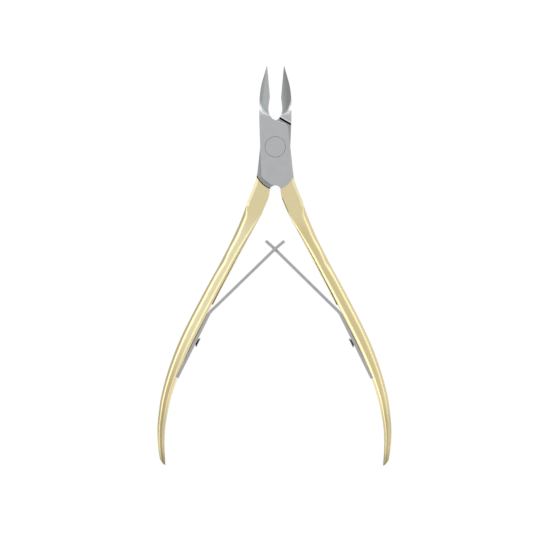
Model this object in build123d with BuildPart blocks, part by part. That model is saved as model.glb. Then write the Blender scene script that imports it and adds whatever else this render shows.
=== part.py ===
from build123d import *
from math import radians, degrees, sin, cos, tan, atan2, hypot
import os

# ---------------------------------------------------------------------------
# Cuticle nipper with a lap joint and a crossed pair of leaf springs.
# Frame: the nipper lies flat, +Z up. The origin is on the pivot axis, in the
# plane of the joint's back face. The jaws point along +Y, the handles along -Y.
# Rest pose: open, held open by the springs.
# ---------------------------------------------------------------------------

# joint
T = 6.0                    # thickness of the lap joint
LAP = 3.0                  # height of the lap plane
LAP_GAP = 0.015            # half of the clearance between the two lap faces
HALF_OPEN = 5.8            # each lever turns this far, in degrees, to close
TIP_Y, HEEL_Y = 24.25, 15.10   # ends of the straight cutting edges
EDGE_BREAK = 0.15          # small chamfer round the flat faces
UNDERCUT_W, UNDERCUT_D = 0.48, 1.10   # undercut along the foot of the jaw's shoulder
ARC_CUT_W, ARC_CUT_D = 0.32, 0.80     # undercut along the foot of the handle's shoulder

# pivot
SHANK_R, HEAD_R, HEAD_T = 2.0, 3.05, 1.30
RUN_FIT, HEAD_FIT, THREAD_FIT = 0.03, 0.05, 0.02
GROOVE = 0.06              # break on the head's rim and its seat

# leaf springs
LEAF_T, LEAF_W = 0.90, 3.20
TONGUE_W, SLOT_W, SLOT_L = 1.40, 1.90, 3.20
LEAF_Z = T / 2
HINGE = (19.54, -49.70)    # where each leaf leaves its handle, centre line
CROSS = (0.0, -30.62)      # where the two leaves cross
TIP_L, TIP_BEND = 3.70, 4.0
FOOT_DIR = (0.4437, -0.8962)   # along the right foot, towards the handle's end
FOOT_L = 21.90
FOOT_GAP = 0.02

# leaf screws
SCREW_AT = 9.65            # from the hinge line, along the foot
SCREW_R, SCREW_IN = 0.70, 3.00
SCREW_HEAD_R, SCREW_NECK_R, SCREW_CONE, SCREW_RIM = 1.45, 0.85, 0.30, 0.30

# handle stations for the right handle: centre x, centre y, angle of the
# outward normal in degrees, width in the plane, thickness along Z,
# corner radius outside, corner radius inside
STATIONS = [
    (6.28, -18.72, 22.7, 5.20, 5.99, 0.60, 0.32),
    (6.80, -19.92, 23.4, 5.04, 5.99, 1.05, 0.45),
    (7.27, -21.00, 24.13, 4.88, 5.99, 1.70, 0.60),
    (8.42, -23.48, 25.35, 4.56, 5.98, 2.15, 0.95),
    (9.87, -26.45, 26.41, 4.28, 5.92, 2.20, 1.35),
    (11.63, -29.93, 27.23, 4.07, 5.80, 2.15, 1.68),
    (13.71, -33.93, 27.80, 3.98, 5.65, 2.10, 1.80),
    (16.39, -38.95, 28.22, 4.01, 5.50, 2.05, 1.86),
    (19.63, -44.97, 28.24, 4.09, 5.40, 2.05, 1.92),
    (22.76, -50.97, 27.40, 4.13, 5.30, 2.05, 1.95),
    (25.70, -56.82, 25.40, 4.08, 5.20, 2.00, 1.95),
    (28.36, -62.70, 22.60, 3.80, 5.05, 1.90, 1.80),
    (30.60, -68.54, 18.85, 3.40, 4.80, 1.70, 1.60),
    (32.10, -73.39, 14.92, 3.06, 4.50, 1.52, 1.44),
    (33.17, -78.24, 10.33, 2.74, 4.15, 1.36, 1.28),
    (33.80, -82.62, 5.50, 2.46, 3.80, 1.22, 1.15),
    (34.05, -86.51, 0.50, 2.20, 3.45, 1.08, 1.03),
    (33.97, -89.44, -3.2, 1.96, 3.12, 0.96, 0.92),
    (33.79, -91.89, -6.2, 1.74, 2.80, 0.85, 0.82),
    (33.46, -94.40, -8.5, 1.43, 2.40, 0.70, 0.67),
    (33.26, -95.90, -9.5, 1.20, 2.15, 0.58, 0.56),
]
# the rounded end of the handle, as flats: a point of each, and the way it looks in degrees
END_CUTS = [((33.62, -94.80), -36.0), ((33.26, -95.24), -52.0), ((33.00, -95.40), -70.0)]

# jaw grinding, for the left jaw
FACET_Z, FACET_DROP = 4.78, 0.095   # facet height at Y = 10, and its fall towards the tip
FACET_R, FACET_X = 14.0, -3.20      # radius and centre line of the hollow grind
RELIEF = 8.0                        # relief behind the cutting edge, in degrees
BACK_RISE = [(8.60, 0.0), (11.5, 0.10), (15.0, 0.52), (19.0, 1.30), (22.5, 2.15), (26.0, 3.10)]
# matching points of the polished shoulder: its top line, its foot on the facet,
# and how far the top edge is rolled back over the plate
SHOULDER_TOP = [(-1.10, 9.10), (-2.13, 9.50), (-2.80, 9.80), (-3.48, 10.10), (-4.00, 10.32),
                (-4.45, 10.50), (-4.85, 10.66), (-5.25, 10.82)]
SHOULDER_FOOT = [(-1.10, 9.58), (-2.13, 9.93), (-2.92, 10.46), (-3.66, 11.34), (-4.12, 12.42),
                 (-4.52, 13.65), (-4.80, 15.20), (-5.05, 17.00)]
SHOULDER_ROLL = [0.04, 0.06, 0.10, 0.18, 0.32, 0.48, 0.62, 0.74]
# heights of the wall's sections
SHOULDER_Z = [5.88, 5.70, 5.50, 5.25, 5.00, 4.85, 4.70, 4.55, 4.40, 4.25, 4.05, 3.30]


def on_foot(along, out):
    """A point of the right foot: along it from the hinge, and out of its centre line towards the handle."""
    dx, dy = FOOT_DIR
    return HINGE[0] + dx * along - dy * out, HINGE[1] + dy * along + dx * out


def handle_plane(cx, cy, ang):
    """A handle section's plane: its x runs outward across the handle and its y runs up."""
    a = radians(ang)
    return Plane(origin=(cx, cy, T / 2), x_dir=(cos(a), sin(a), 0), z_dir=(sin(a), -cos(a), 0))


def section_edges(w, h, ro, ri):
    """A rounded rectangle as eight edges, with its own radius outside and inside."""
    x1, x0, y = w / 2, -w / 2, h / 2
    k = 1 - sin(radians(45))
    Line((x0 + ri, y), (x1 - ro, y))
    ThreePointArc((x1 - ro, y), (x1 - ro * k, y - ro * k), (x1, y - ro))
    Line((x1, y - ro), (x1, -y + ro))
    ThreePointArc((x1, -y + ro), (x1 - ro * k, -y + ro * k), (x1 - ro, -y))
    Line((x1 - ro, -y), (x0 + ri, -y))
    ThreePointArc((x0 + ri, -y), (x0 + ri * k, -y + ri * k), (x0, -y + ri))
    Line((x0, -y + ri), (x0, y - ri))
    ThreePointArc((x0, y - ri), (x0 + ri * k, y - ri * k), (x0 + ri, y))


# ---------------------------------------------------------------------------
# Outline points in the XY plane, for the lever with the left jaw and the
# right handle. The other lever is the same blank turned half round about Y.
# ---------------------------------------------------------------------------
TIP_IN = (-TIP_Y * tan(radians(HALF_OPEN)), TIP_Y)
HEEL = (-HEEL_Y * tan(radians(HALF_OPEN)), HEEL_Y)
TIP_OUT = (TIP_IN[0] - 0.24, TIP_Y - 0.06)
JAW_OUT = [TIP_OUT, (-2.90, 23.40), (-3.22, 22.30), (-3.60, 21.00), (-3.95, 19.80),
           (-4.24, 18.60), (-4.48, 17.30), (-4.67, 15.80), (-4.79, 14.20),
           (-4.83, 12.50), (-4.83, 10.60)]
SIDE_UP = [(-4.83, 10.60), (-4.79, 7.60), (-4.71, 4.90), (-4.52, 0.10)]
SHOULDER_OUT = (-4.80, 7.05)      # the jaw shoulder's outer end
SHOULDER_IN = (-1.30, 9.03)       # and its end in the throat
THROAT = [HEEL, (-1.74, 14.50), (-1.90, 13.50), (-2.05, 12.30), (-2.10, 11.40),
          (-2.02, 10.60), (-1.80, 9.80)]
THROAT_LOW = [(-1.80, 9.80), SHOULDER_IN]
THROAT_END = [SHOULDER_IN, (-0.80, 8.39), (-0.18, 8.17)]

WAIST_L, WAIST_R = (-4.52, 0.10), (4.52, 0.10)
LOW_L = [WAIST_L, (-4.36, -3.20), (-4.22, -6.40), (-4.14, -8.45)]
LOW_BEND = [(-4.14, -8.45), (-3.72, -9.45), (-3.00, -10.22), (-1.80, -10.95)]
ARCH = [(-1.80, -10.95), (-0.55, -11.42), (0.45, -11.52), (1.20, -11.95), (1.56, -12.45)]
INNER = [(1.60, -12.62), (1.74, -13.90), (2.02, -15.30)]
RIGHT_UP = [WAIST_R, (4.10, 3.60), (3.88, 5.60)]
TOP_BEND = [(3.88, 5.60), (3.72, 6.35), (3.20, 6.90)]
TOP_EDGE = [(3.20, 6.90), (-0.18, 8.17)]

# the handle block ends square to the handle at its first station
s0 = STATIONS[0]
a0 = radians(s0[2])
END_O = (s0[0] + cos(a0) * s0[3] / 2, s0[1] + sin(a0) * s0[3] / 2)
END_I = (s0[0] - cos(a0) * s0[3] / 2, s0[1] - sin(a0) * s0[3] / 2)
OUTER = [END_O, (8.22, -16.10), (7.44, -14.30), (6.70, -12.50), (6.26, -11.30),
         (5.86, -10.10), (5.55, -8.80), (5.13, -5.60), (4.80, -2.40), WAIST_R]

# shoulder arc on the handle side, beyond the sweep of the other lever's plate
ARC_A, ARC_M, ARC_B = (5.52, -9.12), (4.06, -11.02), (1.60, -12.62)

def bevel(points, z, wide, deep, side):
    """A cutter that breaks the edge along a line of points in the plane z. side is +1 where the metal lies left of the line's direction, seen from above."""
    up = 1 if z > T / 2 else -1
    with BuildPart() as cutter:
        with BuildLine(Plane.XY.offset(z)) as path:
            if len(points) > 2:
                Spline(*points)
            else:
                Line(*points)
        start = path.line @ 0
        along = path.line % 0
        out = Vector(along.Y, -along.X, 0) * side
        with BuildSketch(Plane(origin=start, x_dir=out, z_dir=along)) as profile:
            flip = 1 if along.cross(out).Z * up > 0 else -1
            with BuildLine():
                Polyline((-wide * 1.2, 0.2 * deep * flip), (0.6, 0.2 * deep * flip),
                         (0.6, -deep * (1 + 0.6 / wide) * flip), close=True)
            make_face()
        sweep(path=path.line)
    return cutter.part


# ---------------------------------------------------------------------------
# Lever blank: left jaw, front half of the joint and right handle
# ---------------------------------------------------------------------------
with BuildPart() as rough:
    # front half of the thickness: jaw, plate and handle root
    with BuildSketch(Plane.XY.offset(LAP + LAP_GAP)):
        with BuildLine():
            Spline(*JAW_OUT)
            Spline(*SIDE_UP)
            Spline(*LOW_L)
            Spline(*LOW_BEND)
            Spline(*ARCH)
            Line(ARCH[-1], INNER[0])
            Spline(*INNER)
            Line(INNER[-1], END_I)
            Line(END_I, END_O)
            Spline(*OUTER)
            Spline(*RIGHT_UP)
            Spline(*TOP_BEND)
            Line(*TOP_EDGE)
            Spline(*reversed(THROAT_END))
            Line(*reversed(THROAT_LOW))
            Spline(*reversed(THROAT))
            Line(HEEL, TIP_IN)
            Line(TIP_IN, TIP_OUT)
        make_face()
    extrude(amount=T - LAP - LAP_GAP)
    # back half: the jaw down to its shoulder
    with BuildSketch(Plane.XY):
        with BuildLine():
            Spline(*JAW_OUT)
            Spline((-4.83, 10.60), (-4.82, 8.80), SHOULDER_OUT)
            Line(SHOULDER_OUT, SHOULDER_IN)
            Line(*reversed(THROAT_LOW))
            Spline(*reversed(THROAT))
            Line(HEEL, TIP_IN)
            Line(TIP_IN, TIP_OUT)
        make_face()
    extrude(amount=LAP + LAP_GAP)
    # back half: the handle root down from its shoulder arc
    with BuildSketch(Plane.XY):
        with BuildLine():
            ThreePointArc(ARC_A, ARC_M, ARC_B)
            Spline(*INNER)
            Line(INNER[-1], END_I)
            Line(END_I, END_O)
            Spline(END_O, (8.22, -16.10), (7.44, -14.30), (6.70, -12.50), (6.28, -11.50),
                   (5.90, -10.30), ARC_A)
        make_face()
    extrude(amount=LAP + LAP_GAP)


# edges broken on the plate, the shoulders and the handle root
ROOT_EDGE = [END_O, (8.22, -16.10), (7.44, -14.30), (6.70, -12.50), (6.28, -11.50), (5.90, -10.30), ARC_A]
root_bevel = bevel(ROOT_EDGE, T, 0.80, 0.30, 1)
root_bevel_back = bevel(ROOT_EDGE, 0, 0.80, 0.30, 1)
side_edge = bevel(OUTER[6:], T, EDGE_BREAK, EDGE_BREAK, 1)
inner_bevel = bevel([INNER[-1], END_I], T, 0.25, 0.40, 1)
plate_low = bevel(LOW_L + LOW_BEND[1:], T, EDGE_BREAK, EDGE_BREAK, 1)
plate_top = bevel(RIGHT_UP + TOP_BEND[1:], T, EDGE_BREAK, EDGE_BREAK, 1)
plate_edge = bevel(TOP_EDGE, T, 0.12, 0.05, 1)
shoulder_edge = bevel([SHOULDER_OUT, SHOULDER_IN], 0, 0.30, 0.14, 1)
with BuildLine() as arc_line:
    ThreePointArc(ARC_A, ARC_M, ARC_B)
ARC_C = arc_line.edges()[0].arc_center
ARC_R = (Vector(*ARC_A) - ARC_C).length

# undercuts in the lap face, along the feet of the two shoulders
sx, sy = SHOULDER_IN[0] - SHOULDER_OUT[0], SHOULDER_IN[1] - SHOULDER_OUT[1]
sn = hypot(sx, sy)
sx, sy = sx / sn, sy / sn
with BuildPart() as undercut:
    with BuildSketch(Plane.XY.offset(LAP)):
        with BuildLine():
            p1 = (SHOULDER_OUT[0] - sx * 1.0, SHOULDER_OUT[1] - sy * 1.0)
            p2 = (SHOULDER_IN[0] + sx * 1.5, SHOULDER_IN[1] + sy * 1.5)
            q1 = (p1[0] + sy * UNDERCUT_W, p1[1] - sx * UNDERCUT_W)
            q2 = (p2[0] + sy * UNDERCUT_W, p2[1] - sx * UNDERCUT_W)
            Polyline(p1, q1, q2, p2, close=True)
        make_face()
    extrude(amount=UNDERCUT_D + LAP_GAP)
with BuildPart() as arc_undercut:
    with BuildSketch(Plane.XY.offset(LAP)):
        with Locations((ARC_C.X, ARC_C.Y)):
            Circle(ARC_R)
            Circle(ARC_R - ARC_CUT_W, mode=Mode.SUBTRACT)
        # only the part beside the handle's root
        with Locations((3.6, -11.4)):
            Rectangle(6.6, 5.6, mode=Mode.INTERSECT)
    extrude(amount=ARC_CUT_D + LAP_GAP)
cutters = [root_bevel, root_bevel_back, side_edge, inner_bevel, plate_low, plate_top, plate_edge,
           shoulder_edge, undercut.part, arc_undercut.part]
for c in cutters:
    print("cutter", c.is_valid, round(c.volume, 3))


with BuildPart() as blank:
    add(rough.part)
    add(cutters, mode=Mode.SUBTRACT)
    # handle bar
    for cx, cy, ang, w, h, ro, ri in STATIONS:
        with BuildSketch(handle_plane(cx, cy, ang)):
            with BuildLine():
                section_edges(w, h, ro, ri)
            make_face()
    loft()
    # rounded end of the handle
    for at, look in END_CUTS:
        ea = radians(look)
        split(bisect_by=Plane(origin=(*at, T / 2), z_dir=(cos(ea), sin(ea), 0)), keep=Keep.BOTTOM)
    # flat seat for the leaf's foot, a little deeper beside the bend
    with BuildSketch(Plane(origin=(*HINGE, T / 2 - 4), x_dir=(*FOOT_DIR, 0), z_dir=(0, 0, -1))):
        with BuildLine():
            Polyline((-2.5, 3.0), (-2.5, -LEAF_T / 2 - 0.10), (0.55, -LEAF_T / 2 - 0.10),
                     (0.55, -LEAF_T / 2), (FOOT_L + 0.35, -LEAF_T / 2), (FOOT_L + 0.35, 3.0), close=True)
        make_face()
    extrude(amount=-8, mode=Mode.SUBTRACT)
    # tapped hole for the leaf's screw
    with BuildSketch(Plane(origin=(*on_foot(SCREW_AT, 0), LEAF_Z), z_dir=(-FOOT_DIR[1], FOOT_DIR[0], 0))):
        Circle(SCREW_R + THREAD_FIT)
    extrude(amount=SCREW_IN + 0.1, mode=Mode.SUBTRACT)

# ---------------------------------------------------------------------------
# Grinding tools for the left jaw
# ---------------------------------------------------------------------------
def facet_z(y):
    return FACET_Z - FACET_DROP * (y - 10)


def wall_line(z):
    """The shoulder wall's line at height z. Every point meets its own place of the facet's surface at the foot."""
    line = []
    for a, b in zip(SHOULDER_TOP, SHOULDER_FOOT):
        foot = facet_z(b[1]) + (b[0] - FACET_X) ** 2 / (2 * FACET_R)
        u = (T - z) / (T - foot)
        k = u * (0.72 + 0.28 * min(u, 1.0))
        line.append((a[0] + (b[0] - a[0]) * k, a[1] + (b[1] - a[1]) * k))
    return line


def rolled_line(k):
    """The top line moved k of the way back over the plate."""
    return [(a[0], a[1] - r * k) for a, r in zip(SHOULDER_TOP, SHOULDER_ROLL)]


facet_sections = [(T + 0.25, rolled_line(2.2)), (T, rolled_line(1.0)), (T - 0.015, rolled_line(0.62)),
                  (T - 0.045, rolled_line(0.28))]
facet_sections += [(z, wall_line(z)) for z in SHOULDER_Z]
with BuildPart() as facet_tool:
    for z, wall in facet_sections:
        with BuildSketch(Plane.XY.offset(z)):
            with BuildLine():
                Spline(*wall)
                Polyline(wall[-1], (-8.0, 22.0), (-8.0, 30.0), (4.0, 30.0), wall[0])
            make_face()
    loft(ruled=True)
    tilt = degrees(atan2(FACET_DROP, 1))
    with Locations(Location((FACET_X, 16.0, facet_z(16.0) + FACET_R), (90 - tilt, 0, 0))):
        Cylinder(FACET_R, 60, mode=Mode.INTERSECT)

with BuildPart() as back_tool:
    with BuildSketch(Plane.YZ.offset(-8)):
        with BuildLine():
            Spline(*BACK_RISE, tangents=[(1, 0), (1, 0.28)])
            Polyline(BACK_RISE[-1], (26.0, -1.0), (8.60, -1.0), BACK_RISE[0])
        make_face()
    extrude(amount=9)

he = radians(HALF_OPEN)
edge_dir = Vector(-sin(he), cos(he), -FACET_DROP)
edge_start = (-11.0 * tan(he), 11.0, facet_z(11.0) + 0.06)
with BuildPart() as edge_tool:
    with BuildSketch(Plane(origin=edge_start, x_dir=(cos(he), sin(he), 0), z_dir=edge_dir)) as edge_section:
        k = tan(radians(RELIEF))
        with BuildLine():
            Polyline((-0.78, -0.20), (-0.28, 0.0), (0.0, 0.12), (-6 * k, 6.12), (3, 6.12), (3, -0.20), close=True)
        make_face()
    extrude(amount=16)

for n, t in (("facet", facet_tool), ("back", back_tool), ("edge", edge_tool)):
    print(n, t.part.is_valid, round(t.part.volume, 2), t.part.bounding_box())

# ---------------------------------------------------------------------------
# Front lever: left jaw, front plate, right handle
# ---------------------------------------------------------------------------
with BuildPart() as front_lever:
    add(blank.part)
    add(back_tool.part, mode=Mode.SUBTRACT)
    add(facet_tool.part, mode=Mode.SUBTRACT)
    add(edge_tool.part, mode=Mode.SUBTRACT)
    with Locations((0, 0, T)):
        CounterBoreHole(radius=SHANK_R + RUN_FIT, counter_bore_radius=HEAD_R + HEAD_FIT,
                        counter_bore_depth=HEAD_T + 0.02, depth=T)
        Cone(HEAD_R + HEAD_FIT - 0.001, HEAD_R + HEAD_FIT + GROOVE, GROOVE,
             align=(Align.CENTER, Align.CENTER, Align.MAX), mode=Mode.SUBTRACT)

# ---------------------------------------------------------------------------
# Back lever: right jaw, back plate, left handle
# ---------------------------------------------------------------------------
with BuildPart() as back_lever:
    with Locations((0, 0, T)):
        add(blank.part, rotation=(0, 180, 0))
    mirror(back_tool.part, about=Plane.YZ, mode=Mode.SUBTRACT)
    mirror(facet_tool.part, about=Plane.YZ, mode=Mode.SUBTRACT)
    mirror(edge_tool.part, about=Plane.YZ, mode=Mode.SUBTRACT)
    with Locations((0, 0, T)):
        Hole(radius=SHANK_R + THREAD_FIT, depth=T)

# ---------------------------------------------------------------------------
# Pivot screw
# ---------------------------------------------------------------------------
with BuildPart() as pivot_screw:
    with BuildSketch(Plane.XZ):
        with BuildLine():
            Polyline((0, 0), (SHANK_R - 0.15, 0), (SHANK_R, 0.15), (SHANK_R, T - HEAD_T),
                     (HEAD_R, T - HEAD_T), (HEAD_R, T - GROOVE), (HEAD_R - GROOVE, T), (0, T), close=True)
        make_face()
    revolve(axis=Axis.Z)
    # two blind spanner holes in the back end
    with Locations(Location((0, 0, 0), (180, 0, 0))):
        with Locations((-1.15, 0, 0), (1.15, 0, 0)):
            Hole(radius=0.35, depth=0.9)

# ---------------------------------------------------------------------------
# Leaf springs. Each is a foot clamped on the handle and an arm that flexes.
# ---------------------------------------------------------------------------
with BuildPart() as right_spring_foot:
    with BuildSketch(Plane(origin=(*HINGE, LEAF_Z - LEAF_W / 2), x_dir=(*FOOT_DIR, 0), z_dir=(0, 0, 1))):
        with BuildLine():
            Polyline((LEAF_T / 2 + 0.05, -LEAF_T / 2), (FOOT_L, -LEAF_T / 2), (FOOT_L, LEAF_T / 2 - FOOT_GAP),
                     (LEAF_T / 2 + 0.05, LEAF_T / 2 - FOOT_GAP), close=True)
        make_face()
    extrude(amount=LEAF_W)
    with BuildSketch(Plane(origin=(*on_foot(SCREW_AT, -2), LEAF_Z), z_dir=(-FOOT_DIR[1], FOOT_DIR[0], 0))):
        Circle(SCREW_R + 0.08)
    extrude(amount=4, mode=Mode.SUBTRACT)
    ends = right_spring_foot.edges().filter_by(
        lambda e: abs((e.center() - Vector(*on_foot(FOOT_L, 0), LEAF_Z)).length - LEAF_W / 2) < 0.1
        and e.length < LEAF_T + 0.05)
    fillet(ends, radius=0.9)

with BuildPart() as left_spring_foot:
    mirror(right_spring_foot.part, about=Plane.YZ)


def arm_outline(tip_bend):
    """The right arm's edge-on outline: rounded at the hinge, straight to the crossing, slightly flatter past it."""
    ax, ay = CROSS[0] - HINGE[0], CROSS[1] - HINGE[1]
    n = hypot(ax, ay)
    d = Vector(ax / n, ay / n, 0)
    side = Vector(-d.Y, d.X, 0) * (LEAF_T / 2)
    t = d.rotate(Axis.Z, tip_bend)
    tip_side = Vector(-t.Y, t.X, 0) * (LEAF_T / 2)
    h = Vector(*HINGE, 0)
    knee = Vector(*CROSS, 0) + d * 0.5
    tip = knee + t * (TIP_L - 0.5)
    mid = (side + tip_side) * 0.5
    Line(h + side, knee + mid)
    Line(knee + mid, tip + tip_side)
    Line(tip + tip_side, tip - tip_side)
    Line(tip - tip_side, knee - mid)
    Line(knee - mid, h - side)
    ThreePointArc(h - side, h - d * (LEAF_T / 2), h + side)


arm_dir = Vector(CROSS[0] - HINGE[0], CROSS[1] - HINGE[1], 0)
ARM_L = arm_dir.length
arm_angle = degrees(atan2(arm_dir.Y, arm_dir.X))
with BuildPart() as right_spring_arm:
    with BuildSketch(Plane.XY.offset(LEAF_Z - LEAF_W / 2)):
        with BuildLine():
            arm_outline(3.0)
        make_face()
    extrude(amount=LEAF_W)
    # the arm narrows to a tongue just before the crossing
    with Locations(Location((*HINGE, LEAF_Z), (0, 0, arm_angle))):
        with Locations((ARM_L - 0.95, 0, TONGUE_W / 2), (ARM_L - 0.95, 0, -TONGUE_W / 2 - 2)):
            Box(8, 4, 2, align=(Align.MIN, Align.CENTER, Align.MIN), mode=Mode.SUBTRACT)

with BuildPart() as left_arm_blank:
    with BuildSketch(Plane.XY.offset(LEAF_Z - LEAF_W / 2)):
        with BuildLine():
            arm_outline(4.0)
        make_face()
    extrude(amount=LEAF_W)
    # closed window that the other leaf's tongue passes through
    with Locations(Location((*HINGE, LEAF_Z), (0, 0, arm_angle))):
        with Locations((ARM_L - 1.5, 0, 0)):
            Box(SLOT_L, 4, SLOT_W, align=(Align.MIN, Align.CENTER, Align.CENTER), mode=Mode.SUBTRACT)
with BuildPart() as left_spring_arm:
    mirror(left_arm_blank.part, about=Plane.YZ)

# ---------------------------------------------------------------------------
# Leaf screws, with a slotted head that stands on its neck off the leaf
# ---------------------------------------------------------------------------
screw_plane = Plane(origin=(*on_foot(SCREW_AT, 0), LEAF_Z), x_dir=(*FOOT_DIR, 0),
                    z_dir=(-FOOT_DIR[1], FOOT_DIR[0], 0))
with BuildPart() as screw_blank:
    f = -LEAF_T / 2
    with BuildSketch(Plane.XZ):
        with BuildLine():
            Polyline((0, SCREW_IN), (SCREW_R - 0.2, SCREW_IN), (SCREW_R, SCREW_IN - 0.3), (SCREW_R, f),
                     (SCREW_NECK_R, f), (SCREW_HEAD_R - 0.10, f - SCREW_CONE), (SCREW_HEAD_R, f - SCREW_CONE - 0.06),
                     (SCREW_HEAD_R, f - SCREW_CONE - SCREW_RIM + 0.08),
                     (SCREW_HEAD_R - 0.08, f - SCREW_CONE - SCREW_RIM), (0, f - SCREW_CONE - SCREW_RIM), close=True)
        make_face()
    revolve(axis=Axis.Z)
    with Locations((0, 0, f - SCREW_CONE - SCREW_RIM)):
        Box(4, 0.40, 0.60, mode=Mode.SUBTRACT)
with BuildPart() as right_spring_screw:
    with Locations(screw_plane.location):
        add(screw_blank.part)
with BuildPart() as left_spring_screw:
    mirror(right_spring_screw.part, about=Plane.YZ)

os.makedirs("parts", exist_ok=True)
nodes = {
    "front_lever": front_lever,
    "back_lever": back_lever,
    "pivot_screw": pivot_screw,
    "left_spring_foot": left_spring_foot,
    "left_spring_arm": left_spring_arm,
    "right_spring_foot": right_spring_foot,
    "right_spring_arm": right_spring_arm,
    "left_spring_screw": left_spring_screw,
    "right_spring_screw": right_spring_screw,
}
for label, node in nodes.items():
    node.part.label = label
    export_step(node.part, "parts/" + label + ".step")
    print(label, node.part.is_valid, len(node.part.solids()), round(node.part.volume, 2), node.part.bounding_box())
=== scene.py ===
import bpy
import bmesh
from math import radians, sin, cos, tan, atan2, hypot, pi
from mathutils import Vector, Matrix


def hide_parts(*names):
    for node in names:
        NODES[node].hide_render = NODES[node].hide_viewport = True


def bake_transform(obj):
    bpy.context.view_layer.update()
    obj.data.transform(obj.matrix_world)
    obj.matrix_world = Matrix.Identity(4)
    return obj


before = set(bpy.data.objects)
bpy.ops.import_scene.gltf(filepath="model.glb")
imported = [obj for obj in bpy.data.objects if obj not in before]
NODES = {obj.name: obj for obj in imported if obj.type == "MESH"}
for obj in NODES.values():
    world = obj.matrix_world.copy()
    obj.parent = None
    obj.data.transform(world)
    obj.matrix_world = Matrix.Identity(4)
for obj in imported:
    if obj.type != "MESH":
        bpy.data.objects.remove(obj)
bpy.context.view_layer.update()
MM = 0.001

# ---------------------------------------------------------------------------
# Small helpers for node trees
# ---------------------------------------------------------------------------


class Tree:
    """Builds a node tree with short calls. Every call returns an output socket."""

    def __init__(self, tree):
        self.t = tree
        tree.nodes.clear()

    def node(self, kind, **props):
        n = self.t.nodes.new(kind)
        for k, v in props.items():
            setattr(n, k, v)
        return n

    def put(self, socket, value):
        if isinstance(value, bpy.types.NodeSocket):
            self.t.links.new(value, socket)
        elif value is not None:
            socket.default_value = value

    def math(self, op, a, b=None, c=None, clamp=False):
        n = self.node("ShaderNodeMath", operation=op, use_clamp=clamp)
        self.put(n.inputs[0], a)
        self.put(n.inputs[1], b)
        self.put(n.inputs[2], c)
        return n.outputs[0]

    def step(self, value, low, high, out_low=0.0, out_high=1.0, kind="SMOOTHSTEP"):
        n = self.node("ShaderNodeMapRange", interpolation_type=kind)
        for i, v in enumerate((value, low, high, out_low, out_high)):
            self.put(n.inputs[i], v)
        return n.outputs[0]

    def mix(self, f, a, b):
        n = self.node("ShaderNodeMix", data_type="RGBA")
        self.put(n.inputs[0], f)
        self.put(n.inputs[6], a)
        self.put(n.inputs[7], b)
        return n.outputs[2]

    def mixf(self, f, a, b):
        n = self.node("ShaderNodeMix", data_type="FLOAT")
        self.put(n.inputs[0], f)
        self.put(n.inputs[2], a)
        self.put(n.inputs[3], b)
        return n.outputs[0]

    def times(self, colour, f):
        """A colour made brighter or darker by a number."""
        n = self.node("ShaderNodeVectorMath", operation="SCALE")
        self.put(n.inputs[0], colour)
        self.put(n.inputs[3], f)
        return n.outputs[0]

    def noise(self, vector, scale, detail=3.0, rough=0.55):
        n = self.node("ShaderNodeTexNoise")
        self.put(n.inputs["Vector"], vector)
        n.inputs["Scale"].default_value = scale
        n.inputs["Detail"].default_value = detail
        n.inputs["Roughness"].default_value = rough
        return n.outputs["Fac"]

    def stretch(self, vector, scale, turn=(0, 0, 0)):
        n = self.node("ShaderNodeMapping")
        self.put(n.inputs["Vector"], vector)
        n.inputs["Rotation"].default_value = turn
        n.inputs["Scale"].default_value = scale
        return n.outputs[0]

    def split(self, vector):
        n = self.node("ShaderNodeSeparateXYZ")
        self.put(n.inputs[0], vector)
        return n.outputs[0], n.outputs[1], n.outputs[2]

    def bump(self, height, strength, distance, normal=None):
        n = self.node("ShaderNodeBump")
        n.inputs["Strength"].default_value = strength
        n.inputs["Distance"].default_value = distance
        self.put(n.inputs["Height"], height)
        self.put(n.inputs["Normal"], normal)
        return n.outputs[0]

    def surface(self, colour, rough, normal, metallic=1.0):
        n = self.node("ShaderNodeBsdfPrincipled")
        n.inputs["Metallic"].default_value = metallic
        self.put(n.inputs["Base Color"], colour)
        self.put(n.inputs["Roughness"], rough)
        self.put(n.inputs["Normal"], normal)
        out = self.node("ShaderNodeOutputMaterial")
        self.t.links.new(n.outputs[0], out.inputs[0])


def material(name):
    m = bpy.data.materials.new(name)
    m.use_nodes = True
    return m, Tree(m.node_tree)


# ---------------------------------------------------------------------------
# Metals. Object coordinates are the row frame in metres.
# ---------------------------------------------------------------------------
STEEL = (0.510, 0.520, 0.530, 1)
# ground facet steel of each jaw, painted lighter on the left jaw and darker on the right jaw: painted light and shade
FACET_LIT_SHADED = {-1: (0.478, 0.495, 0.495, 1), 1: (0.415, 0.425, 0.425, 1)}
POLISH = (0.53, 0.536, 0.548, 1)      # rolled upper part of the polished shoulder
# the steep foot's colour is a painted highlight, much lighter than the polished steel above it
POLISH_FOOT_HIGHLIGHT = (0.85, 0.86, 0.88, 1)     # and its steep foot
GOLD = (0.865, 0.755, 0.435, 1)
LEAF = (0.45, 0.455, 0.463, 1)
SCREW = (0.22, 0.215, 0.21, 1)


def circle(a, b, c):
    ax, ay, bx, by, cx, cy = *a, *b, *c
    d = 2 * (ax * (by - cy) + bx * (cy - ay) + cx * (ay - by))
    ux = ((ax * ax + ay * ay) * (by - cy) + (bx * bx + by * by) * (cy - ay) + (cx * cx + cy * cy) * (ay - by)) / d
    uy = ((ax * ax + ay * ay) * (cx - bx) + (bx * bx + by * by) * (ax - cx) + (cx * cx + cy * cy) * (bx - ax)) / d
    return ux, uy, hypot(ax - ux, ay - uy)


ARC_X, ARC_Y, ARC_R = circle((5.52, -9.12), (4.06, -11.02), (1.60, -12.62))
# the way off the jaw shoulder's line, towards the pivot
SH_NX, SH_NY = -0.4924, -0.8704
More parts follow.
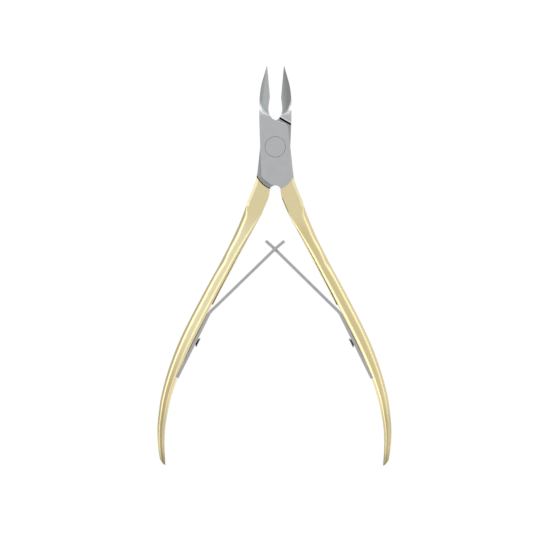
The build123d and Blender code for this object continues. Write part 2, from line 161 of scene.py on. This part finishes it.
# painted light and shade on the handles' crowns, one colour per lever
CROWN_LIT_SHADED = {1: (0.925, 0.840, 0.535, 1), -1: (0.760, 0.650, 0.350, 1)}
# painted shade on the outer margin of each facet: its |x| at y 12 and at y 24, its softness, its shade
FACET_MARGIN_SHADE = {-1: (3.70, 2.45, 0.80, 0.78), 1: (1.70, 1.10, 2.40, 0.66)}


def lever(name, side):
    """Steel joint and jaw with a plated handle. side is -1 for the lever with the left jaw."""
    m, t = material(name)
    co = t.node("ShaderNodeTexCoord").outputs["Object"]
    mm = t.node("ShaderNodeVectorMath", operation="SCALE")
    t.put(mm.inputs[0], co)
    mm.inputs[3].default_value = 1000.0
    p = mm.outputs[0]
    x, y, z = t.split(p)
    geo = t.node("ShaderNodeNewGeometry")
    local = t.node("ShaderNodeVectorTransform", vector_type="NORMAL", convert_from="WORLD", convert_to="OBJECT")
    t.put(local.inputs[0], geo.outputs["Normal"])
    nx, ny, nz = t.split(local.outputs[0])
    ax = t.math("ABSOLUTE", x)
    # plating starts at the joint's lower arc
    dx = t.math("SUBTRACT", ax, ARC_X)
    dy = t.math("SUBTRACT", y, ARC_Y)
    d = t.math("SUBTRACT", t.math("SQRT", t.math("ADD", t.math("MULTIPLY", dx, dx), t.math("MULTIPLY", dy, dy))), ARC_R)
    root = t.step(y, -8.2, -8.3)
    gold = t.math("MULTIPLY", t.step(d, -0.03, 0.03), root)
    # jaws: ground facet, polished shoulder
    jaw = t.step(y, 8.9, 9.1)
    front = t.step(z, 3.05, 3.1)
    low = t.step(z, 5.12, 5.04)
    # the facet keeps its own slope, the shoulder wall is steeper
    flat = t.step(nz, 0.955, 0.975)
    facet = t.math("MULTIPLY", jaw, t.math("MULTIPLY", low, flat))
    cove = t.math("MULTIPLY", jaw, t.math("MULTIPLY", t.math("MULTIPLY", front, t.step(ny, 0.10, 0.17)), t.step(nz, 0.02, 0.08)))
    # fine grinding lines along the tool, broad cloudiness
    lines = t.noise(t.stretch(p, (9.0, 0.35, 9.0)), 1.0, 4.0, 0.65)
    fine = t.noise(t.stretch(p, (42.0, 1.6, 42.0)), 1.0, 2.0, 0.6)
    cloud = t.noise(p, 0.35, 2.0)
    spots = t.noise(p, 2.2, 3.0)
    # painted shade toward each facet's outer margin
    margin = t.step(t.math("SUBTRACT", ax, t.step(y, 12.0, 24.0, FACET_MARGIN_SHADE[side][0], FACET_MARGIN_SHADE[side][1], "LINEAR")),
                    0.0, FACET_MARGIN_SHADE[side][2])
    # painted shade: the undercuts along the shoulders' feet are painted near black
    lap = t.math("ABSOLUTE", t.math("SUBTRACT", z, 3.0))
    into = t.math("MULTIPLY", t.math("SUBTRACT", z, 3.0), -side)
    deep = t.math("MULTIPLY", t.step(into, 0.03, 0.10), t.step(into, 1.35, 1.25))
    sd = t.math("ADD", t.math("MULTIPLY", t.math("SUBTRACT", ax, 1.30), SH_NX), t.math("MULTIPLY", t.math("SUBTRACT", y, 9.03), SH_NY))
    in_jaw_cut = t.math("MULTIPLY", t.math("MULTIPLY", t.step(sd, 0.56, 0.50), t.step(sd, -0.05, 0.02)), t.step(y, 5.0, 5.2))
    in_arc_cut = t.math("MULTIPLY", t.math("MULTIPLY", t.step(d, -0.40, -0.34), t.step(d, 0.02, -0.02)), root)
    undercut_shade = t.math("MULTIPLY", deep, t.math("MAXIMUM", in_jaw_cut, in_arc_cut))
    # painted highlight: a lighter steel along the jaw shoulder's chamfered edge
    shoulder_edge_highlight = t.math("MULTIPLY", t.math("MULTIPLY", t.step(into, -2.80, -2.84), t.step(sd, -0.34, -0.30)),
                 t.math("MULTIPLY", t.step(sd, 0.03, 0.0), t.step(y, 5.0, 5.2)))
    # painted shade: the faces of the lap joint are painted darker than the ground outside
    lap_shade = t.math("MULTIPLY", t.step(lap, 0.08, 0.04), t.math("MULTIPLY", t.step(y, -14.0, -13.5), t.step(y, 9.4, 9.2)))
    steel_col = t.times(STEEL[:3], t.step(cloud, 0.3, 0.7, 0.975, 1.02, "LINEAR"))
    # the plate is a little brighter up to the shoulder's rolled edge
    steel_col = t.times(steel_col, t.step(y, 9.1, 10.7, 1.0, 1.38, "LINEAR"))
    steel_col = t.mix(lap_shade, steel_col, t.times(STEEL[:3], 0.83))
    # facet colour carries its painted per-jaw light and shade and the grinding lines
    facet_col = t.times(FACET_LIT_SHADED[side][:3], t.step(lines, 0.25, 0.75, 0.86, 1.12, "LINEAR"))
    facet_col = t.times(facet_col, t.step(margin, 0.0, 1.0, 1.0, FACET_MARGIN_SHADE[side][3], "LINEAR"))
    gold_col = t.mix(t.step(spots, 0.35, 0.65), GOLD, (0.835, 0.72, 0.42, 1))
    # painted light and shade along each crown: lighter on the back lever's upper handle, darker on the front lever and
    # toward the back lever's end; the gold is also darker toward the handle's end
    crown = t.math("MULTIPLY", t.step(nz, t.step(y, -60.0, -78.0, 0.84, 0.91), 0.97), t.step(y, -20.0, -27.0))
    crown_lit_shaded_col = t.mix(t.step(y, -52.0, -76.0), CROWN_LIT_SHADED[side], (0.64, 0.51, 0.29, 1) if side == 1 else CROWN_LIT_SHADED[side])
    gold_col = t.mix(crown, gold_col, crown_lit_shaded_col)
    # painted highlight: a lighter gold on the chamfered band near the joint
    chamfer_highlight = t.math("MULTIPLY", t.math("MULTIPLY", t.step(nz, 0.975, 0.955), t.step(nz, 0.88, 0.90)), t.step(y, -19.5, -18.6))
    gold_col = t.mix(chamfer_highlight, gold_col, (0.920, 0.830, 0.530, 1))
    # painted shade: the bevels that look at each other below the joint are painted dark brown
    inward = t.math("MULTIPLY", nx, t.math("SIGN", x))
    facing_bevel_shade = t.math("MULTIPLY", t.math("MULTIPLY", t.step(inward, -0.20, -0.40), t.step(nz, 0.30, 0.45)), t.step(y, -24.0, -17.0))
    gold_col = t.mix(facing_bevel_shade, gold_col, (0.48, 0.34, 0.15, 1))
    # the gold is darker toward the handle's end
    end_darkening = t.math("ADD", t.step(y, -74.0, -83.0, 0.0, 0.22), t.step(y, -89.5, -95.0, 0.0, 0.32))
    gold_col = t.times(gold_col, t.math("SUBTRACT", 1.0, end_darkening))
    col = t.mix(facet, steel_col, facet_col)
    # height above the hollow facet
    hx = t.math("SUBTRACT", ax, 3.2)
    high = t.math("SUBTRACT", t.math("ADD", z, t.math("MULTIPLY", t.math("SUBTRACT", y, 10.0), 0.095)),
                  t.math("ADD", 4.78, t.math("MULTIPLY", t.math("MULTIPLY", hx, hx), 1 / 28.0)))
    # painted highlight: the cove's steep foot takes the much lighter steel colour
    at_foot = t.math("MAXIMUM", t.step(high, 0.30, 0.12), t.step(nz, 0.80, 0.60))
    col = t.mix(cove, col, t.mix(at_foot, POLISH, POLISH_FOOT_HIGHLIGHT))
    # painted highlight on the shoulder's edge
    col = t.mix(shoulder_edge_highlight, col, (0.72, 0.73, 0.75, 1))
    col = t.mix(gold, col, gold_col)
    # painted shade in the undercuts
    col = t.mix(undercut_shade, col, (0.006, 0.006, 0.007, 1))
    r_steel = t.step(lines, 0.3, 0.7, 0.30, 0.38, "LINEAR")
    r_facet = t.step(lines, 0.3, 0.7, 0.26, 0.36, "LINEAR")
    r_gold = t.math("ADD", t.step(cloud, 0.3, 0.7, 0.17, 0.23, "LINEAR"), t.step(y, -76.0, -92.0, 0.0, 0.14))
    rough = t.mixf(facet, r_steel, r_facet)
    rough = t.mixf(cove, rough, 0.12)
    rough = t.mixf(gold, rough, r_gold)
    rough = t.mixf(undercut_shade, rough, 0.8)
    height = t.mixf(gold, fine, spots)
    amount = t.mixf(gold, 1.0, 0.35)
    normal = t.bump(t.math("MULTIPLY", height, amount), 0.12, 0.00001)
    t.surface(col, rough, normal)
    return m


def plain_metal(name, colour, low, high, axis=(30, 2, 30), turn=(0, 0, 0), vary=0.05, head=None, shadow_spot=None):
    """Rolled or turned steel with fine lines along one direction. head is the colour of a leaf screw's head, and the
    last argument, if given, paints a small dark shadow spot (x, y, radius).
    """
    m, t = material(name)
    co = t.node("ShaderNodeTexCoord").outputs["Object"]
    mm = t.node("ShaderNodeVectorMath", operation="SCALE")
    t.put(mm.inputs[0], co)
    mm.inputs[3].default_value = 1000.0
    p = t.stretch(mm.outputs[0], (1, 1, 1), turn)
    lines = t.noise(t.stretch(p, axis), 1.0, 3.0, 0.6)
    cloud = t.noise(p, 0.5, 2.0)
    col = t.times(colour[:3], t.step(cloud, 0.3, 0.7, 1 - vary, 1 + vary, "LINEAR"))
    if head:
        x, y, z = t.split(mm.outputs[0])
        out = t.math("ADD", t.math("MULTIPLY", t.math("SUBTRACT", t.math("ABSOLUTE", x), 19.54), 0.8962),
                     t.math("MULTIPLY", t.math("ADD", y, 49.70), 0.4437))
        col = t.mix(t.step(out, -0.70, -0.76), col, head)
    # painted shadow: a small dark spot where the leaf's tongue steps down in shade
    if shadow_spot:
        x, y, z = t.split(mm.outputs[0])
        ox, oy = t.math("SUBTRACT", x, shadow_spot[0]), t.math("SUBTRACT", y, shadow_spot[1])
        far = t.math("SQRT", t.math("ADD", t.math("MULTIPLY", ox, ox), t.math("MULTIPLY", oy, oy)))
        spot = t.math("MULTIPLY", t.step(far, shadow_spot[2], shadow_spot[2] * 0.6), t.step(z, 4.3, 4.4))
        col = t.mix(spot, col, (0.03, 0.032, 0.032, 1))
    rough = t.step(lines, 0.3, 0.7, low, high, "LINEAR")
    normal = t.bump(lines, 0.15, 0.00001)
    t.surface(col, rough, normal)
    return m


def paint(obj, mat):
    obj.data.materials.clear()
    obj.data.materials.append(mat)


front_mat = lever("front_lever_metal", -1)
back_mat = lever("back_lever_metal", 1)
paint(NODES["front_lever"], front_mat)
paint(NODES["back_lever"], back_mat)
paint(NODES["pivot_screw"], plain_metal("pivot_steel", STEEL, 0.30, 0.38, (12, 12, 12), vary=0.02))
screw_mat = plain_metal("screw_steel", LEAF, 0.28, 0.42, (25, 25, 25), vary=0.10, head=SCREW)
paint(NODES["left_spring_screw"], screw_mat)
paint(NODES["right_spring_screw"], screw_mat)

# ---------------------------------------------------------------------------
# Leaf springs, each one bent strip
# ---------------------------------------------------------------------------
HINGE = Vector((19.54, -49.70, 3.0))
CROSS = Vector((0.0, -30.62, 3.0))
FOOT_DIR = Vector((0.4437, -0.8962, 0)).normalized()
FOOT_L, LEAF_T, LEAF_W = 21.90, 0.90, 3.20
SCREW_AT = 9.65
ARM_DIR = (CROSS - HINGE).normalized()
ARM_L = (CROSS - HINGE).length
TIP_L = 3.70


def strip_path(tip_bend):
    """Centre line of the right leaf from the foot's end to the tip, as points in millimetres."""
    pts = []
    turn = 0.8          # length of the bend on each side of the hinge
    n = 24
    for i in range(n):
        pts.append(HINGE + FOOT_DIR * (FOOT_L + (turn - FOOT_L) * i / n))
    a, b = HINGE + FOOT_DIR * turn, HINGE + ARM_DIR * turn
    for i in range(13):
        s = i / 12
        pts.append(a * (1 - s) ** 2 + HINGE * 2 * s * (1 - s) + b * s ** 2)
    # the bend stays on the hinge line at its middle
    last = ARM_L + 0.5
    for i in range(1, 31):
        pts.append(HINGE + ARM_DIR * (turn + (last - turn) * i / 30))
    tip = ARM_DIR.copy()
    tip.rotate(Matrix.Rotation(radians(tip_bend), 3, "Z"))
    k = pts[-1]
    for i in range(1, 7):
        pts.append(k + tip * (TIP_L - 0.5) * i / 6)
    return pts


def strip(name, tip_bend, mirror, cutters):
    """A rolled strip of LEAF_W by LEAF_T along the path, with small rounded edges."""
    pts = strip_path(tip_bend)
    e = 0.09
    ht, hw = LEAF_T / 2, LEAF_W / 2
    section = [(-ht, -hw + e), (-ht + e * 0.3, -hw + e * 0.3), (-ht + e, -hw), (ht - e, -hw), (ht - e * 0.3, -hw + e * 0.3), (ht, -hw + e),
               (ht, hw - e), (ht - e * 0.3, hw - e * 0.3), (ht - e, hw), (-ht + e, hw), (-ht + e * 0.3, hw - e * 0.3), (-ht, hw - e)]
    bm = bmesh.new()
    rings = []
    for i, p in enumerate(pts):
        d = (pts[min(i + 1, len(pts) - 1)] - pts[max(i - 1, 0)]).normalized()
        side = Vector((-d.y, d.x, 0))
        ring = []
        for s, w in section:
            q = p + side * s + Vector((0, 0, w))
            ring.append(bm.verts.new((-q.x if mirror else q.x, q.y, q.z)))
        rings.append(ring)
    m = len(section)
    for a, b in zip(rings, rings[1:]):
        for i in range(m):
            bm.faces.new((a[i], a[(i + 1) % m], b[(i + 1) % m], b[i]))
    bm.faces.new(rings[0])
    bm.faces.new(list(reversed(rings[-1])))
    bmesh.ops.recalc_face_normals(bm, faces=bm.faces)
    bmesh.ops.scale(bm, vec=(MM, MM, MM), verts=bm.verts)
    me = bpy.data.meshes.new(name)
    bm.to_mesh(me)
    bm.free()
    ob = bpy.data.objects.new(name, me)
    bpy.context.scene.collection.objects.link(ob)
    for c in cutters:
        mod = ob.modifiers.new("cut", "BOOLEAN")
        mod.operation, mod.object, mod.solver = "DIFFERENCE", c, "EXACT"
    dg = bpy.context.evaluated_depsgraph_get()
    done = bpy.data.meshes.new_from_object(ob.evaluated_get(dg))
    ob.modifiers.clear()
    ob.data = done
    done.name = name
    for c in cutters:
        bpy.data.objects.remove(c)
    return ob


def cut_box(origin, along, length, width, height, z, mirror):
    """A temporary box cutter that starts at origin and runs along a direction, centred across it."""
    side = Vector((-along.y, along.x, 0))
    bm = bmesh.new()
    vs = []
    for l in (0, length):
        for w in (-width / 2, width / 2):
            for h in (z, z + height):
                q = origin + along * l + side * w
                vs.append(bm.verts.new(((-q.x if mirror else q.x) * MM, q.y * MM, h * MM)))
    bmesh.ops.convex_hull(bm, input=vs)
    bmesh.ops.recalc_face_normals(bm, faces=bm.faces)
    me = bpy.data.meshes.new("cutter")
    bm.to_mesh(me)
    bm.free()
    ob = bpy.data.objects.new("cutter", me)
    bpy.context.scene.collection.objects.link(ob)
    return ob


def cut_hole(mirror):
    """A temporary cutter for the screw's hole through the foot."""
    axis = Vector((-FOOT_DIR.y, FOOT_DIR.x, 0))
    c = HINGE + FOOT_DIR * SCREW_AT
    bm = bmesh.new()
    vs = []
    for l in (-1.5, 1.5):
        for i in range(40):
            a = 2 * pi * i / 40
            q = c + axis * l + FOOT_DIR * cos(a) * 0.80 + Vector((0, 0, sin(a) * 0.80))
            vs.append(bm.verts.new(((-q.x if mirror else q.x) * MM, q.y * MM, q.z * MM)))
    bmesh.ops.convex_hull(bm, input=vs)
    bmesh.ops.recalc_face_normals(bm, faces=bm.faces)
    me = bpy.data.meshes.new("cutter")
    bm.to_mesh(me)
    bm.free()
    ob = bpy.data.objects.new("cutter", me)
    bpy.context.scene.collection.objects.link(ob)
    return ob


def tongue_cutters(mirror):
    o = HINGE + ARM_DIR * (ARM_L - 0.95)
    return [cut_box(o, ARM_DIR, 9, 5, 3, 3.0 + 0.70, mirror), cut_box(o, ARM_DIR, 9, 5, 3, 3.0 - 0.70 - 3, mirror)]


right_leaf = strip("right_leaf", 3.0, False, tongue_cutters(False) + [cut_hole(False)])
left_leaf = strip("left_leaf", 4.0, True,
                  [cut_box(HINGE + ARM_DIR * (ARM_L - 1.5), ARM_DIR, 3.2, 5, 1.9, 3.0 - 0.95, True), cut_hole(True)])

# the right leaf gets a painted shadow spot beside the crossing
leaf_mat_r = plain_metal("right_leaf_steel", LEAF, 0.30, 0.42, (4, 30, 30), (0, 0, -radians(136)), 0.04, shadow_spot=(0.62, -31.02, 0.36))
leaf_mat_l = plain_metal("left_leaf_steel", LEAF, 0.30, 0.42, (4, 30, 30), (0, 0, radians(136)), 0.04)
for ob, body, root, mat, s in ((right_leaf, "right_leaf", "front_half", leaf_mat_r, 1), (left_leaf, "left_leaf", "back_half", leaf_mat_l, -1)):
    paint(ob, mat)
    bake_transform(ob)
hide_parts("right_spring_foot", "right_spring_arm")
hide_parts("left_spring_foot", "left_spring_arm")

# ---------------------------------------------------------------------------
# Floor, light and camera
# ---------------------------------------------------------------------------
bpy.ops.mesh.primitive_plane_add(size=6.0, location=(0, 0, -0.00003))
floor = bpy.context.object
floor.name = "floor"
fm, ft = material("floor_white")
fd = ft.node("ShaderNodeBsdfDiffuse")
fd.inputs[0].default_value = (0.93, 0.93, 0.93, 1)
fe = ft.node("ShaderNodeEmission")
fe.inputs[0].default_value = (1, 1, 1, 1)
fe.inputs[1].default_value = 1.02
fx = ft.node("ShaderNodeMixShader")
fx.inputs[0].default_value = 0.95
ft.t.links.new(fd.outputs[0], fx.inputs[1])
ft.t.links.new(fe.outputs[0], fx.inputs[2])
fo = ft.node("ShaderNodeOutputMaterial")
ft.t.links.new(fx.outputs[0], fo.inputs[0])
paint(floor, fm)
floor.visible_glossy = False

world = bpy.data.worlds.new("studio")
bpy.context.scene.world = world
world.use_nodes = True
w = Tree(world.node_tree)
g = w.node("ShaderNodeTexCoord").outputs["Generated"]
dx, dy, dz = w.split(g)
adx = w.math("ABSOLUTE", dx)
ramp = w.node("ShaderNodeValToRGB")
w.put(ramp.inputs[0], w.step(dz, -1.0, 1.0, 0.0, 1.0, "LINEAR"))
els = ramp.color_ramp.elements


def grey(v):
    return (v, v, v, 1)


stops = [(0.0, 0.58), (0.46, 0.52), (0.50, 0.62), (0.60, 0.78), (0.78, 0.90), (0.90, 0.85), (1.0, 0.80)]
els[0].position, els[0].color = stops[0][0], grey(stops[0][1])
els[1].position, els[1].color = stops[-1][0], grey(stops[-1][1])
for pos, v in stops[1:-1]:
    e = els.new(pos)
    e.color = grey(v)
up = w.step(dy, -0.10, 0.10)
side_l = w.math("MULTIPLY", w.step(dx, -0.60, -0.78), w.step(dx, -0.93, -0.86))
side_r = w.math("MULTIPLY", w.step(dx, 0.66, 0.80), w.step(dx, 0.93, 0.86))
low_r = w.math("MULTIPLY", w.step(dx, 0.34, 0.46), w.step(dx, 0.76, 0.64))
strips = w.math("ADD", w.math("MULTIPLY", side_l, 1.0),
                w.math("ADD", w.math("MULTIPLY", w.math("MULTIPLY", side_r, up), 0.56),
                       w.math("MULTIPLY", w.math("MULTIPLY", low_r, w.math("SUBTRACT", 1.0, up)), 0.38)))
strips = w.math("MULTIPLY", strips, w.step(dz, 0.0, 0.15))
top = w.math("MULTIPLY", w.step(dy, 0.42, 0.66), w.step(dz, -0.45, 0.25, 0.28, 0.72))
below = w.math("MULTIPLY", w.step(dz, 0.25, -0.10),
               w.mixf(up, w.step(adx, 0.15, 0.60, 0.0, 0.50), w.step(dx, 0.15, 0.60, 0.0, 0.28)))
light = w.math("ADD", w.math("ADD", ramp.outputs[0], below), w.math("ADD", strips, top))
bg = w.node("ShaderNodeBackground")
w.put(bg.inputs[0], (1, 1, 1, 1))
lp = w.node("ShaderNodeLightPath")
w.put(bg.inputs[1], w.mixf(lp.outputs["Is Camera Ray"], light, 0.97))
wo = w.node("ShaderNodeOutputWorld")
w.t.links.new(bg.outputs[0], wo.inputs[0])

cam = bpy.data.cameras.new("camera")
cam_ob = bpy.data.objects.new("camera", cam)
bpy.context.scene.collection.objects.link(cam_ob)
cam.type = "PERSP"
cam.sensor_width = 36.0
cam.lens = 300.0
cam.clip_start, cam.clip_end = 0.05, 20
distance = 0.1599 * cam.lens / cam.sensor_width
cam_ob.location = (-0.00252, -0.03585, 0.0045 + distance)
cam_ob.rotation_euler = (0, 0, radians(0.174))
bpy.context.scene.camera = cam_ob
bpy.context.scene.view_settings.view_transform = "Standard"
